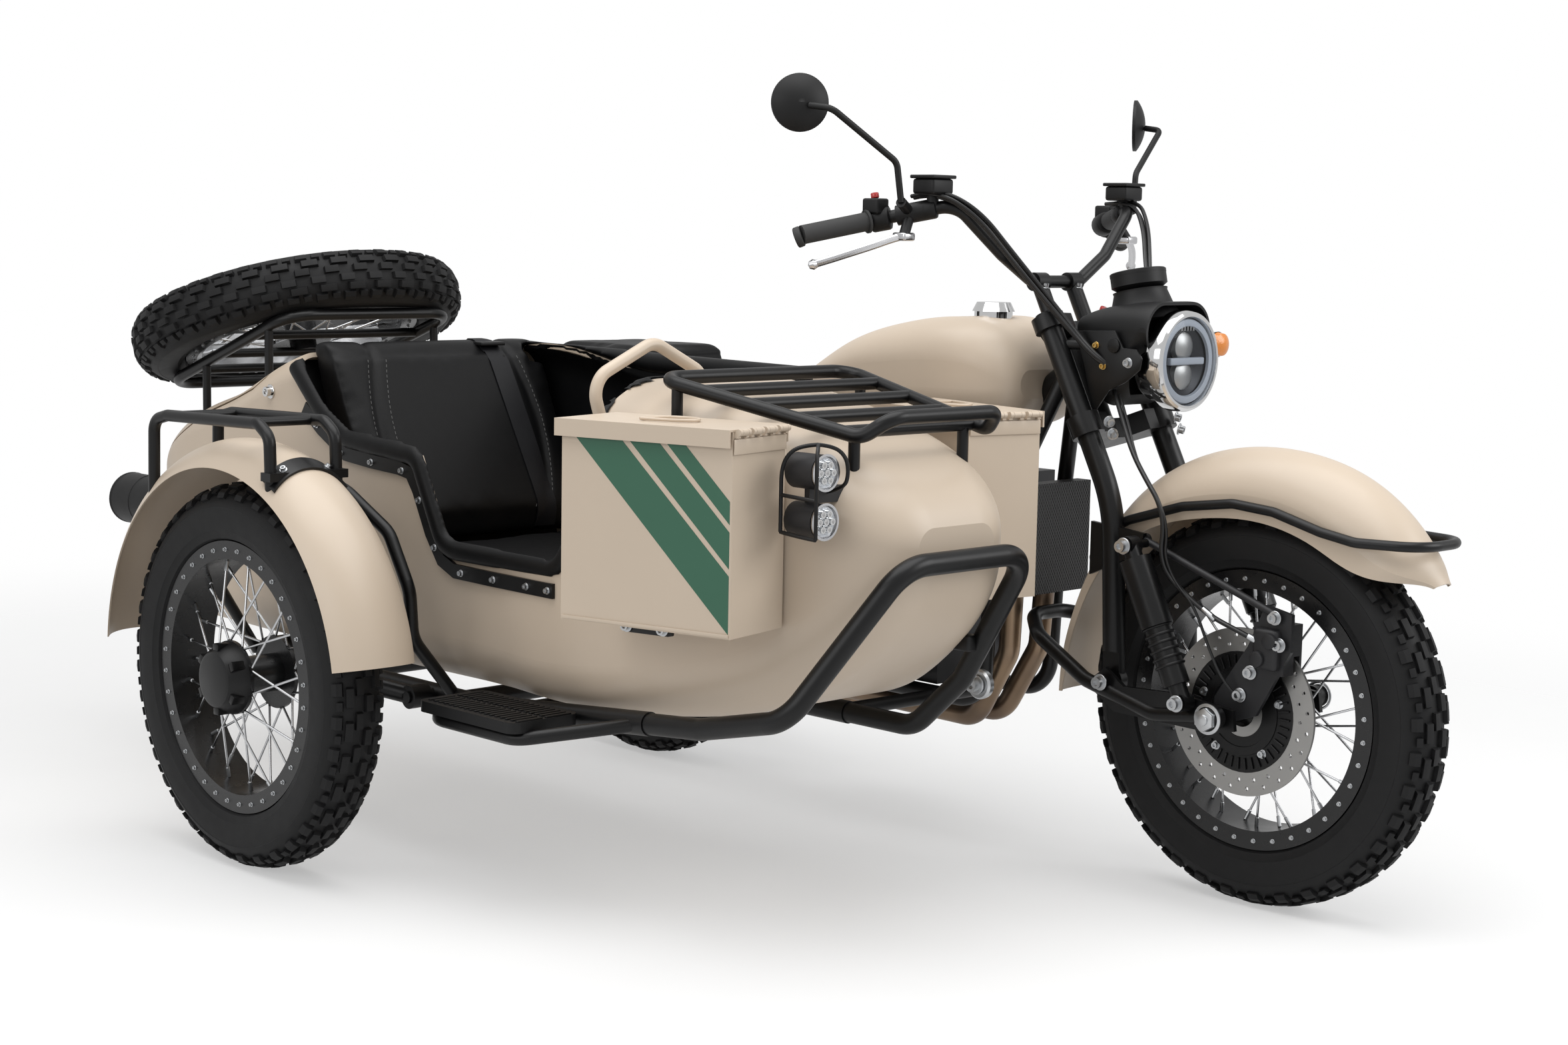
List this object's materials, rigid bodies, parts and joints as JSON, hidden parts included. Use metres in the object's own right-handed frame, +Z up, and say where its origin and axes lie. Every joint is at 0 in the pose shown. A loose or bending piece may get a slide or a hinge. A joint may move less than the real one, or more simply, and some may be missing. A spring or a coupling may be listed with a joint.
{
  "type": "sidecar motorcycle",
  "caption": "Motorcycle with a leading-link fork and a one-seat sidecar that carries a spare wheel, nose rack and lidded side boxes; it steers and rolls.",
  "frame": {"origin": "on the floor, at the middle of the whole outfit's footprint seen from above", "axes": "+X is forward, +Y is to the rider's left, +Z is up; the sidecar is on the -Y side"},
  "size_m": [2.5423, 1.6818, 1.339],
  "materials": {
    "sand_paint": "matte",
    "black_paint": "satin",
    "engine_metal": "satin",
    "chrome": "gloss",
    "steel": "brushed",
    "wheel_black": "satin",
    "tyre": "matte",
    "seat_cover": "matte",
    "grip_rubber": "matte",
    "lamp_plastic": "gloss",
    "black_plastic": "matte"
  },
  "bodies": {
    "chassis": {"frame": "black_paint", "engine": "engine_metal", "radiator": "black_paint", "exhaust": "steel", "fuel_tank": "sand_paint", "fuel_cap": "chrome", "saddle": "seat_cover", "pillion_pad": "seat_cover", "rear_suspension": "black_paint", "rear_fender": "sand_paint", "tail_lamp": "lamp_plastic", "tail": "sand_paint", "tub": "sand_paint", "nose": "sand_paint", "bulkhead": "black_paint", "cockpit_rim": "seat_cover", "seat_back": "seat_cover", "seat_cushion": "seat_cover", "box_brackets": "black_paint", "near_box": "sand_paint", "far_box": "sand_paint", "nose_rack": "black_paint", "grab_arch": "sand_paint", "spot_lamps": "black_paint", "bumper": "black_paint", "sidecar_frame": "black_paint", "sidecar_arm": "black_paint", "sidecar_fender": "sand_paint", "fender_rack": "black_paint", "step_plate": "black_paint", "sidecar_lamp": "lamp_plastic"},
    "steering": {"fork": "black_paint", "link_arms": "black_paint", "fork_shocks": "black_paint", "front_fender": "sand_paint", "fender_loop": "black_paint", "nacelle": "black_paint", "headlamp": "black_paint", "instrument": "black_plastic", "handlebar": "black_paint", "grips": "grip_rubber", "controls": "black_plastic", "levers": "steel", "mirrors": "black_plastic", "front_caliper": "black_paint"},
    "front_roller": {"front_tyre": "tyre", "front_wheel": "wheel_black", "front_disc": "steel"},
    "rear_roller": {"rear_tyre": "tyre", "rear_wheel": "wheel_black", "rear_disc": "steel"},
    "sidecar_roller": {"sidecar_tyre": "tyre", "sidecar_wheel": "wheel_black"},
    "near_lid": {"near_box_lid": "sand_paint"},
    "far_lid": {"far_box_lid": "sand_paint"},
    "boot": {"boot_lid": "sand_paint", "spare_rack": "black_paint", "spare_tyre": "tyre", "spare_wheel": "wheel_black"}
  },
  "joints": [
    {"name": "steering", "type": "hinge", "parent": "chassis", "child": "steering", "pos_m": [0.532, 0.35, 0.86], "axis": [-0.4509, 0, 0.8926], "range_deg": [-35, 35]},
    {"name": "front_wheel_spin", "type": "hinge", "parent": "steering", "child": "front_roller", "pos_m": [0.946, 0.35, 0.325], "axis": [0, 1, 0], "continuous": true},
    {"name": "rear_wheel_spin", "type": "hinge", "parent": "chassis", "child": "rear_roller", "pos_m": [-0.564, 0.35, 0.325], "axis": [0, 1, 0], "continuous": true},
    {"name": "sidecar_wheel_spin", "type": "hinge", "parent": "chassis", "child": "sidecar_roller", "pos_m": [-0.309, -0.763, 0.325], "axis": [0, 1, 0], "continuous": true},
    {"name": "near_box_lid", "type": "hinge", "parent": "chassis", "child": "near_lid", "pos_m": [0.66071, -0.52027, 0.796], "axis": [-0.23, 0.9732, 0], "range_deg": [0, 95]},
    {"name": "far_box_lid", "type": "hinge", "parent": "chassis", "child": "far_lid", "pos_m": [0.66071, 0.02027, 0.796], "axis": [0.23, 0.9732, 0], "range_deg": [0, 95]},
    {"name": "boot_lid", "type": "hinge", "parent": "chassis", "child": "boot", "pos_m": [-1.025, -0.25, 0.681], "axis": [0, -1, 0], "range_deg": [0, 50]}
  ]
}
